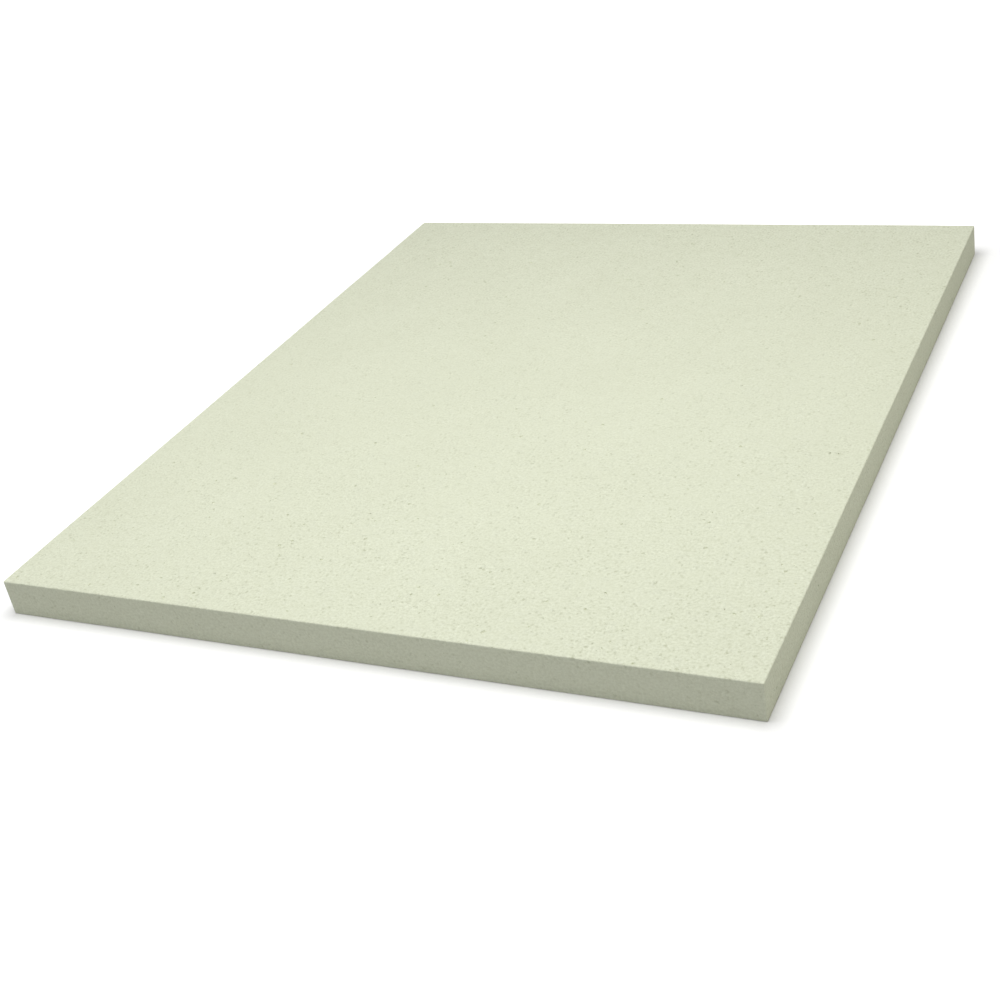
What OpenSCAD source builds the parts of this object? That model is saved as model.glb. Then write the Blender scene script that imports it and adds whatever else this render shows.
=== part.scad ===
// Ceramic fibre insulation board.
//
// One rigid sheet of alumino-silicate fibre. The fibre is drawn out of a slurry onto a
// screen under vacuum, dried, and then sawn square on its four edges. The sheet has no
// core, facing or layers: it is the same felted fibre all the way through.
//
// Units are millimetres. The sheet lies flat on Z = 0, centred on the Z axis, with its
// width along X, its length along Y and its thickness along Z.

/* [Sheet] */
// Width of the sheet, along X
board_width = 1000; // [300:10:1500]
// Length of the sheet, along Y
board_length = 1200; // [300:10:2400]
// Thickness of the sheet, along Z
board_thickness = 50; // [10:1:100]

/* [Edges] */
// Radius that handling leaves on the long arrises of both broad faces
arris_radius = 1.5; // [0.5:0.1:4]
// Radius of the four upright corners, seen from above
corner_radius = 2; // [0.5:0.1:10]

/* [Hidden] */
// Facets of a full circle in the preview; the arcs are true cylinders in the solid
$fn = 48;

// A rectangle centred on the origin, whose corners are arcs of the given radius.
module softened_rectangle(size_x, size_y, radius) {
    square([size_x - 2 * radius, size_y], center = true);
    square([size_x, size_y - 2 * radius], center = true);
    for (side_x = [-1, 1], side_y = [-1, 1])
        translate([side_x * (size_x / 2 - radius), side_y * (size_y / 2 - radius)])
            circle(r = radius);
}

// The sawn outline, seen from above.
module plan_prism() {
    linear_extrude(height = board_thickness)
        softened_rectangle(board_width, board_length, corner_radius);
}

// The section across the sheet's width, run along its whole length.
module width_section_prism() {
    translate([0, board_length / 2, board_thickness / 2])
        rotate([90, 0, 0])
            linear_extrude(height = board_length)
                softened_rectangle(board_width, board_thickness, arris_radius);
}

// The section along the sheet's length, run across its whole width.
module length_section_prism() {
    translate([-board_width / 2, 0, board_thickness / 2])
        rotate([90, 0, 90])
            linear_extrude(height = board_width)
                softened_rectangle(board_length, board_thickness, arris_radius);
}

// The sheet: what the outline and both sections have in common.
module board() {
    color([0.89, 0.90, 0.81])
        intersection() {
            plan_prism();
            width_section_prism();
            length_section_prism();
        }
}

board();
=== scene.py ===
import math

import bpy
from mathutils import Matrix, Vector


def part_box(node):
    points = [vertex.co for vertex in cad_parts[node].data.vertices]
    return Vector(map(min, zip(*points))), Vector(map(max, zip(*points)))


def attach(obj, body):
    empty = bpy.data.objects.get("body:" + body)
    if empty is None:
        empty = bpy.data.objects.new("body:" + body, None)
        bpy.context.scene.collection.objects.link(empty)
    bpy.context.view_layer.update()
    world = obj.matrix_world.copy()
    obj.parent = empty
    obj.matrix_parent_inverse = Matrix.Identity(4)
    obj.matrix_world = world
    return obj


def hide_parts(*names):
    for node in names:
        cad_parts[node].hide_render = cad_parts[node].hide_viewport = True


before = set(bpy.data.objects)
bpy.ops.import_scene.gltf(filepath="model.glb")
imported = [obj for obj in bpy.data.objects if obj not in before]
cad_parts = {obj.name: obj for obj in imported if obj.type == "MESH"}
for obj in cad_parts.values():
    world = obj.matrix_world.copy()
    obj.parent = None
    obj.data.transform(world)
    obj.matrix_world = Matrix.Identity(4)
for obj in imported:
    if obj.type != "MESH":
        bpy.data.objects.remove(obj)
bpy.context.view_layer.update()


# Board: one rigid sheet of alumino-silicate fibre, drawn out of a slurry onto a screen, dried
# and sawn square. It is the same felt all through. The felting leaves pits in its broad faces,
# the saw opens pores in its four edges, and handling rounds and nibbles the arrises.

low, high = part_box("board")
board_size = high - low
board_middle = (low + high) / 2

# The pitch is the widest spacing of the mesh lines. Hollows, tears and patches of pits follow
# waves, each about as long as its length here.
sheet_sizes = {
    "Width": board_size.x,
    "Length": board_size.y,
    "Thickness": board_size.z,
    "Corner Radius": 0.002,
    "Arris Radius": 0.0015,
    "Arris Margin": 0.002,
    "Mesh Pitch": 0.015,
    "Hollow Depth": 0.0008,
    "Hollow Length": 0.140,
    "Tear Depth": 0.0012,
    "Tear Length": 0.0018,
    "Patch Length": 0.070,
}

# Each kind of blemish, with its least spacing, the most of them to the square metre, its smallest
# and largest radius, and its depth as a share of the radius.
blemishes = {
    "Pit": (0.005, 2400.0, 0.0008, 0.0023, 0.55),
    "Screen Pit": (0.009, 600.0, 0.0008, 0.0021, 0.50),
    "Pore": (0.008, 1200.0, 0.0006, 0.0015, 0.50),
    "Chip": (0.010, 20000.0, 0.0006, 0.0017, 0.60),
}
for kind, figures in blemishes.items():
    for name, figure in zip(("Spacing", "Density", "Smallest", "Largest", "Depth"), figures):
        sheet_sizes[kind + " " + name] = figure


class Wire:
    """A value in a node tree. Sums and products of wires add the Math nodes that work them out.

    A wire made from a tree alone has no value yet, and only starts new nodes there.
    """

    def __init__(self, tree, socket=None):
        self.tree = tree
        self.socket = socket

    def node(self, kind, settings, values, output=0):
        """Adds a node, makes its settings, fills its sockets and gives the wire of one output.

        The values are in the order of the sockets or under their names. A list among them puts
        several wires into one socket.
        """
        made = self.tree.nodes.new(kind)
        for name, setting in settings.items():
            setattr(made, name, setting)
        free = [socket for socket in made.inputs if socket.enabled]
        if isinstance(values, dict):
            named = {socket.name: socket for socket in reversed(free)}
            pairs = [(named[name], value) for name, value in values.items()]
        else:
            pairs = list(zip(free, values))
        for socket, value in pairs:
            if isinstance(value, (Wire, list)):
                for wire in value if isinstance(value, list) else [value]:
                    self.tree.links.new(wire.socket, socket)
            elif socket.type == "VECTOR" and isinstance(value, (int, float)):
                socket.default_value = (value, value, value)
            else:
                socket.default_value = value
        given = [socket for socket in made.outputs if socket.enabled]
        if isinstance(output, str):
            return Wire(self.tree, next(socket for socket in given if socket.name == output))
        return Wire(self.tree, given[output]) if given else None

    def output(self, name):
        """Another output of the node that this wire comes from."""
        return Wire(self.tree, self.socket.node.outputs[name])

    def math(self, operation, *others, flipped=False):
        """This wire and others through a Math node, or Vector Math if one is a vector or colour."""
        parts = [self, *others]
        if flipped:
            parts.reverse()
        kinds = [part.socket.type for part in parts if isinstance(part, Wire)]
        threefold = "VECTOR" in kinds or "RGBA" in kinds
        kind = "ShaderNodeVectorMath" if threefold else "ShaderNodeMath"
        return self.node(kind, {"operation": operation}, parts)

    def __add__(self, other):
        return self.math("ADD", other)

    def __sub__(self, other):
        return self.math("SUBTRACT", other)

    def __rsub__(self, other):
        return self.math("SUBTRACT", other, flipped=True)

    def __mul__(self, other):
        return self.math("MULTIPLY", other)

    def __truediv__(self, other):
        return self.math("DIVIDE", other)

    def __rtruediv__(self, other):
        return self.math("DIVIDE", other, flipped=True)

    def __pow__(self, other):
        return self.math("POWER", other)

    def __gt__(self, other):
        return self.math("GREATER_THAN", other)

    def __lt__(self, other):
        return self.math("LESS_THAN", other)

    def __abs__(self):
        return self.math("ABSOLUTE")

    def at_least(self, floor):
        return self.math("MAXIMUM", floor)

    def at_most(self, ceiling):
        return self.math("MINIMUM", ceiling)

    def vector(self, x, y, z):
        return self.node("ShaderNodeCombineXYZ", {}, [x, y, z])

    def part(self, axis):
        return self.node("ShaderNodeSeparateXYZ", {}, [self], axis)

    __radd__ = __add__
    __rmul__ = __mul__


felting = bpy.data.node_groups.new("felted sheet", "GeometryNodeTree")
for name in sheet_sizes:
    felting.interface.new_socket(name, in_out="INPUT", socket_type="NodeSocketFloat")
felting.interface.new_socket("Seed", in_out="INPUT", socket_type="NodeSocketInt")
felting.interface.new_socket("Fibre", in_out="INPUT", socket_type="NodeSocketMaterial")
felting.interface.new_socket("Sheet", in_out="OUTPUT", socket_type="NodeSocketGeometry")

felt = Wire(felting)
sizes = felt.node("NodeGroupInput", {}, [])
width = sizes.output("Width")
length = sizes.output("Length")
thickness = sizes.output("Thickness")
margin = sizes.output("Arris Margin")
seed = sizes.output("Seed")

# The blank is a box of mesh lines. The outermost lines on each side crowd onto its arris and are
# drawn in onto the curve in equal turns, one more marks the margin, and the rest share the face.
arris_steps = 3
crowded = float(arris_steps + 1)
half = felt.vector(width, length, thickness) * 0.5
corner_radius = sizes.output("Corner Radius")
radii = felt.vector(corner_radius, corner_radius, sizes.output("Arris Radius"))
lines = (half / sizes.output("Mesh Pitch") + 0.5).math("FLOOR") + crowded
blank = felt.node(
    "GeometryNodeMeshCube",
    {},
    {
        "Size": half * 2.0,
        "Vertices X": lines.part("X") * 2.0 + 1.0,
        "Vertices Y": lines.part("Y") * 2.0 + 1.0,
        "Vertices Z": lines.part("Z") * 2.0 + 1.0,
    },
)
place = felt.node("GeometryNodeInputPosition", {}, [])
from_side = (1.0 - abs(place) / half) * lines
arris_turn = (1.0 - from_side / float(arris_steps)).at_least(0.0) * (math.pi / 4)
on_arris = radii * arris_turn.math("TANGENT")
on_margin = (crowded - from_side).at_least(0.0).at_most(1.0) * margin
on_face = (half - radii - margin) * ((lines - from_side) / (lines - crowded)).at_most(1.0)
spread = place.math("SIGN") * (on_face + on_margin + on_arris)
core = half - radii
nearest = spread.at_most(core).at_least(core * -1.0)
drawn_in = nearest + radii * ((spread - nearest) / radii).math("NORMALIZE")
blank = felt.node("GeometryNodeSetPosition", {}, {"Geometry": blank, "Position": drawn_in})


def cutters(kind, on, crowding, scatter):
    """Ragged lumps scattered over the blank, each of which leaves one blemish where it is cut away."""
    draws_apart = 10.0
    roundest = 0.9
    longest = 1.7
    points = felt.node(
        "GeometryNodeDistributePointsOnFaces",
        {"distribute_method": "POISSON"},
        {
            "Mesh": blank,
            "Selection": on,
            "Distance Min": sizes.output(kind + " Spacing"),
            "Density Max": sizes.output(kind + " Density"),
            "Density Factor": crowding,
            "Seed": scatter,
        },
    )

    def chance(least, most, draw):
        values = {"Min": least, "Max": most, "Seed": scatter * draws_apart + float(draw)}
        return felt.node("FunctionNodeRandomValue", {"data_type": "FLOAT"}, values)

    heading = felt.vector(0.0, 0.0, chance(0.0, math.tau, 1))
    spin = felt.node("FunctionNodeEulerToRotation", {}, [heading])
    turned = felt.node(
        "FunctionNodeRotateRotation",
        {"rotation_space": "LOCAL"},
        [points.output("Rotation"), spin],
    )
    # Cubing the draw makes most of them small. Each is stretched one way by a draw of its own.
    smallest = sizes.output(kind + " Smallest")
    radius = chance(0.0, 1.0, 2) ** 3.0 * (sizes.output(kind + " Largest") - smallest) + smallest
    stretched = radius * chance(roundest, longest, 3)
    depth = radius * sizes.output(kind + " Depth")
    lump = felt.node("GeometryNodeMeshUVSphere", {}, {"Radius": 1.0, "Segments": 8, "Rings": 4})
    # Torn triangles stay flat, so the rims that they cut are clean.
    lump = felt.node("GeometryNodeTriangulate", {}, [lump])
    lumps = felt.node(
        "GeometryNodeInstanceOnPoints",
        {},
        {
            "Points": points,
            "Instance": lump,
            "Rotation": turned,
            "Scale": felt.vector(stretched, radius, depth),
        },
    )
    real = felt.node("GeometryNodeRealizeInstances", {}, [lumps])
    tears = {"Vector": place, "Scale": 1.0 / sizes.output("Tear Length"), "Detail": 1.0}
    tear = felt.node("ShaderNodeTexNoise", {}, tears, "Color")
    offset = (tear - 0.5) * (sizes.output("Tear Depth") * 2.0)
    ragged = felt.node("GeometryNodeSetPosition", {}, {"Geometry": real, "Offset": offset})
    return felt.node(
        "GeometryNodeStoreNamedAttribute",
        {"data_type": "FLOAT", "domain": "FACE"},
        {"Geometry": ragged, "Name": "torn", "Value": 1.0},
    )


# Pits gather where the slurry held air, and more towards the two ends of the sheet. The saw's
# pores and the chips on the arrises don't.
airless = 0.35
air_contrast = 2.5
fewest_between = 0.1
fewest_in_middle = 0.2
patches = {"Vector": place, "Scale": 1.0 / sizes.output("Patch Length"), "Detail": 1.0}
gathered = (felt.node("ShaderNodeTexNoise", {}, patches) - airless) * air_contrast
gathered = gathered.at_least(fewest_between).at_most(1.0)
towards_end = abs(place.part("Y")) / half.part("Y")
gathered = gathered * (towards_end * (1.0 - fewest_in_middle) + fewest_in_middle)

# The places for them are told apart by how far the blank's faces point up or down.
level = 0.99
upright = 0.01
steepest_arris = 0.30
flattest_arris = 0.97
facing = felt.node("GeometryNodeInputNormal", {}, []).part("Z")
upper_face = facing > level
under_face = facing < -level
sawn_edge = abs(facing) < upright
arris = (abs(facing) > steepest_arris) * (abs(facing) < flattest_arris)
pits = cutters("Pit", upper_face, gathered, seed + 1.0)
screen_pits = cutters("Screen Pit", under_face, gathered, seed + 2.0)
pores = cutters("Pore", sawn_edge, 1.0, seed + 3.0)
chips = cutters("Chip", arris, 1.0, seed + 4.0)
worn = felt.node(
    "GeometryNodeMeshBoolean",
    {"operation": "DIFFERENCE", "solver": "MANIFOLD"},
    {"Mesh 1": blank, "Mesh 2": [pits, screen_pits, pores, chips]},
)

# The faces dry a little hollow: the skin sinks between the highest places, which keep the sawn
# size. The share is 1 on a face and fades quickly below it.
highest = 0.3
fade = 8.0
waves = {"Vector": place, "Scale": 1.0 / sizes.output("Hollow Length"), "Detail": 2.0}
wave = (felt.node("ShaderNodeTexNoise", {}, waves) - highest).at_least(0.0)
share = (abs(place) / half) ** fade
sunk = place.math("SIGN") * share * (wave * sizes.output("Hollow Depth") * -1.0)
worn = felt.node("GeometryNodeSetPosition", {}, {"Geometry": worn, "Offset": sunk})

# Every bend sharper than this stays crisp: the rims of the pits, but not the steps of an arris.
crisp_angle = math.radians(32)
smooth = felt.node("GeometryNodeInputMeshEdgeAngle", {}, []) < crisp_angle
worn = felt.node(
    "GeometryNodeSetShadeSmooth", {"domain": "EDGE"}, {"Geometry": worn, "Shade Smooth": smooth}
)
worn = felt.node("GeometryNodeRealizeInstances", {}, [worn])
worn = felt.node("GeometryNodeSetMaterial", {}, {"Geometry": worn, "Material": sizes.output("Fibre")})
felt.node("NodeGroupOutput", {}, [worn])

fibre = bpy.data.materials.new("ceramic fibre")
fibre.use_nodes = True
fibre.node_tree.nodes.clear()
skin = Wire(fibre.node_tree)
spot = skin.node("ShaderNodeTexCoord", {}, [], "Object")
torn = skin.node("ShaderNodeAttribute", {"attribute_name": "torn"}, [], "Fac")


def noise(per_metre, detail=2.0, roughness=0.5, where=spot, output="Fac"):
    """Soft lumps, with this many to the metre."""
    values = {"Vector": where, "Scale": per_metre, "Detail": detail, "Roughness": roughness}
    return skin.node("ShaderNodeTexNoise", {}, values, output)


# Whatever is laid on this warped spot comes out ragged, as felt does.
ragged_by = 0.0060
warped = spot + (noise(per_metre=330.0, detail=3.0, roughness=0.7, output="Color") - 0.5) * ragged_by


def specks(per_metre, smallest, largest, softness):
    """Soft ragged specks, each with its own size and darkness. Sizes are in shares of a cell."""
    values = {"Vector": warped, "Scale": per_metre, "Randomness": 1.0}
    from_middle = skin.node("ShaderNodeTexVoronoi", {}, values, "Distance")
    draws = skin.node("ShaderNodeSeparateColor", {}, [from_middle.output("Color")], "Red")
    faintest = 0.4
    radius = draws * (largest - smallest) + smallest
    dark = draws.output("Green") * (1.0 - faintest) + faintest
    return ((radius - from_middle) / softness).at_least(0.0).at_most(1.0) * dark


def strands(per_metre, thinness, where):
    """Thin curled lines, like single fibres that lie in the skin of the felt."""
    from_line = abs(noise(per_metre, detail=1.0, where=where) - 0.5)
    return (1.0 - from_line * thinness).at_least(0.0)


grain = noise(per_metre=300.0, detail=3.0, roughness=0.6) - 0.5
clump = noise(per_metre=90.0) - 0.5
loose = noise(per_metre=25.0)
cloud = noise(per_metre=8.0) - 0.5
speck = specks(per_metre=165.0, smallest=0.16, largest=0.44, softness=0.26)

# Two sets of strands cross, the second one drawn from noise elsewhere.
elsewhere = 3.0
strand = strands(per_metre=170.0, thinness=45.0, where=warped)
strand = strand.at_least(strands(per_metre=130.0, thinness=60.0, where=warped + elsewhere))

# The clumps break the strands up. A few of them run on in between.
strand_break = 6.0
strand_between = 0.2
strand = strand * (clump * strand_break + strand_between).at_least(0.0).at_most(1.0)

# The saw drags the fibres of the four edges into marks along the cut.
along_cut = 40.0
through_cut = 450.0
skin_depth = 0.001
sawn = skin.vector(along_cut, along_cut, through_cut)
saw_mark = noise(per_metre=1.0, detail=3.0, roughness=0.6, where=spot * sawn) - 0.5
height = spot.part("Z") - board_middle.z
on_edge = (board_size.z / 2 - abs(height)) > skin_depth

# The felt is tightest in the middle and more open towards both ends, the right side and the back.
end_openness = 0.46
side_openness = 0.16
back_openness = 0.12
sawn_openness = 0.12
to_end = abs(spot.part("Y")) / (board_size.y / 2)
to_side = spot.part("X") / board_size.x
to_back = spot.part("Y") / board_size.y
openness = to_end * end_openness + to_side * side_openness + to_back * back_openness
openness = openness * (1.0 - on_edge) + 1.0

# How far each thing lightens or darkens the fibre, as a share of its colour.
tight_grain_shade = 0.14
loose_grain_shade = 0.41
clump_shade = 0.09
strand_shade = 0.025
speck_shade = 0.18
cloud_shade = 0.05
saw_mark_shade = 0.05
# Torn faces of pits, pores and chips come out darker: partly the torn fibre's own tone, partly painted
# shade in these hollows.
torn_tone_and_hollow_shade = 0.08
torn_and_hollow_shade_swing = 2.0
texture = grain * (loose * loose_grain_shade + tight_grain_shade) + clump * clump_shade
texture = texture + strand * strand_shade - speck * loose * speck_shade * openness
texture = texture * (openness + on_edge * sawn_openness)
texture = texture + cloud * cloud_shade + saw_mark * on_edge * saw_mark_shade
# The torn faces get their own darker tone plus painted hollow shade, varied by the clumps.
tone = texture - torn * (clump * torn_and_hollow_shade_swing + 1.0) * torn_tone_and_hollow_shade

fibre_colour = (0.76, 0.79, 0.62)
blue_swing = 1.25
colour = (tone * skin.vector(1.0, 1.0, blue_swing) + 1.0) * skin.vector(*fibre_colour)

# Strands stand a little proud of the grain and specks are sunk. A saw mark is ridge and furrow.
relief_depth = 0.0006
strand_rise = 0.2
speck_sink = 0.6
saw_mark_rise = 0.3
relief = grain + strand * strand_rise - speck * speck_sink + saw_mark * on_edge * saw_mark_rise
bump = skin.node("ShaderNodeBump", {}, {"Strength": 1.0, "Distance": relief_depth, "Height": relief})

# The pressed skin is matt, and loose, sawn or torn fibre is rougher still.
pressed_roughness = 0.84
loose_roughness = 0.12
cut_roughness = 0.06
dryness = loose * loose_roughness + on_edge.at_least(torn) * cut_roughness + pressed_roughness
matt_fibre = skin.node(
    "ShaderNodeBsdfPrincipled",
    {},
    {"Base Color": colour, "Normal": bump, "Roughness": dryness, "Specular IOR Level": 0.3},
)
skin.node("ShaderNodeOutputMaterial", {}, {"Surface": matt_fibre})

felting_seed = 7
board = bpy.data.objects.new("fibre_board", bpy.data.meshes.new("fibre_board"))
bpy.context.scene.collection.objects.link(board)
felter = board.modifiers.new("felting", "NODES")
felter.node_group = felting
chosen = {**sheet_sizes, "Seed": felting_seed, "Fibre": fibre}
for item in felting.interface.items_tree:
    if item.in_out == "INPUT":
        felter[item.identifier] = chosen[item.name]
board.update_tag()
felted = board.evaluated_get(bpy.context.evaluated_depsgraph_get())
board.data = bpy.data.meshes.new_from_object(felted)
# The shapes that the tree starts from bring an empty slot, which goes.
board.data.materials.pop(index=0)
board.modifiers.clear()
board.data.transform(Matrix.Translation(board_middle))
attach(board, "root")
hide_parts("board")


# Floor: a wide pale floor that the board lies on. It keeps the board's soft shadow and runs out
# to plain white.

floor_reach = 12.0
shadow_reach = 0.25
floor_grey = 0.72
bpy.ops.mesh.primitive_circle_add(vertices=96, radius=floor_reach, fill_type="NGON")
floor = bpy.context.object
floor.name = "studio_floor"
paint = bpy.data.materials.new("floor paint")
paint.use_nodes = True
paint.node_tree.nodes.clear()
coat = Wire(paint.node_tree)


def shown(wire):
    """1 for what the camera sees, straight or in gloss or glass, and 0 for what only gives light."""
    ray = wire.node("ShaderNodeLightPath", {}, [], "Is Camera Ray")
    return ray.at_least(ray.output("Is Glossy Ray")).at_least(ray.output("Is Transmission Ray"))


# Near the board the painted floor shows its shadow. Further out the floor is plain white.
seen_grey = 0.92
near_glow = 0.12
seen = shown(coat)
point = coat.node("ShaderNodeTexCoord", {}, [], "Object")
outside = (abs(point) - coat.vector(board_size.x / 2, board_size.y / 2, 0.0)).at_least(0.0)
away = coat.node("ShaderNodeVectorMath", {"operation": "LENGTH"}, [outside], "Value")
clear = (away / shadow_reach).at_most(1.0)
shade = seen * (seen_grey - floor_grey) + floor_grey
matt = coat.node("ShaderNodeBsdfDiffuse", {}, {"Color": coat.vector(shade, shade, shade)})
brightness = seen * (clear * (1.0 - near_glow) + near_glow)
glow = coat.node("ShaderNodeEmission", {}, {"Strength": brightness})
both = coat.node("ShaderNodeAddShader", {}, [matt, glow])
coat.node("ShaderNodeOutputMaterial", {}, {"Surface": both})
floor.data.materials.append(paint)


# Light: a wide soft box above the near half of the board, a warm fill low on its right, and a dim
# even room that shows as plain white.

room_light = 0.28
world = bpy.data.worlds.new("studio")
bpy.context.scene.world = world
world.use_nodes = True
world.node_tree.nodes.clear()
room = Wire(world.node_tree)
white = (1.0, 1.0, 1.0, 1.0)
strength = shown(room) * (1.0 - room_light) + room_light
sky = room.node("ShaderNodeBackground", {}, {"Color": white, "Strength": strength})
room.node("ShaderNodeOutputWorld", {}, {"Surface": sky})


def square_lamp(name, size, watts, colour, placed):
    """A square lamp of this size, which shines along its own -Z."""
    light = bpy.data.lights.new(name, "AREA")
    light.shape = "SQUARE"
    light.size = size
    light.energy = watts
    light.color = colour
    lamp = bpy.data.objects.new(name, light)
    lamp.matrix_world = placed
    bpy.context.scene.collection.objects.link(lamp)


soft_box_inset = 0.225
soft_box_height = 2.5
fill_reach = 2.5
fill_height = 1.0
fill_turn = math.radians(68)
plain_white = (1.0, 1.0, 1.0)
warm_white = (1.0, 0.93, 0.60)
above_near_half = Matrix.Translation((0.0, low.y + soft_box_inset, high.z + soft_box_height))
low_on_right = Matrix.Translation((high.x + fill_reach, 0.0, high.z + fill_height))
facing_board = low_on_right @ Matrix.Rotation(fill_turn, 4, "Y")
square_lamp("soft_box", size=1.6, watts=50.8, colour=plain_white, placed=above_near_half)
square_lamp("right_fill", size=1.5, watts=5.0, colour=warm_white, placed=facing_board)


# Camera: it stands in front of the near right corner, about a metre above the floor, and looks
# down along the board. It leans a little, so the near end runs down to the right.

near_corner = Vector((high.x, low.y, high.z))
from_corner = Vector((0.4203, -1.1758, 0.9703))
turn = math.radians(28.83)
tilt = math.radians(60.72)
lean = math.radians(-10.34)
lens = bpy.data.cameras.new("camera")
lens.lens = 55.76
lens.shift_x = -0.025
lens.shift_y = -0.020
lens.clip_end = 60.0
camera = bpy.data.objects.new("camera", lens)
camera.matrix_world = (
    Matrix.Translation(near_corner + from_corner)
    @ Matrix.Rotation(turn, 4, "Z")
    @ Matrix.Rotation(tilt, 4, "X")
    @ Matrix.Rotation(lean, 4, "Z")
)
bpy.context.scene.collection.objects.link(camera)
bpy.context.scene.camera = camera
bpy.context.scene.view_settings.view_transform = "Standard"
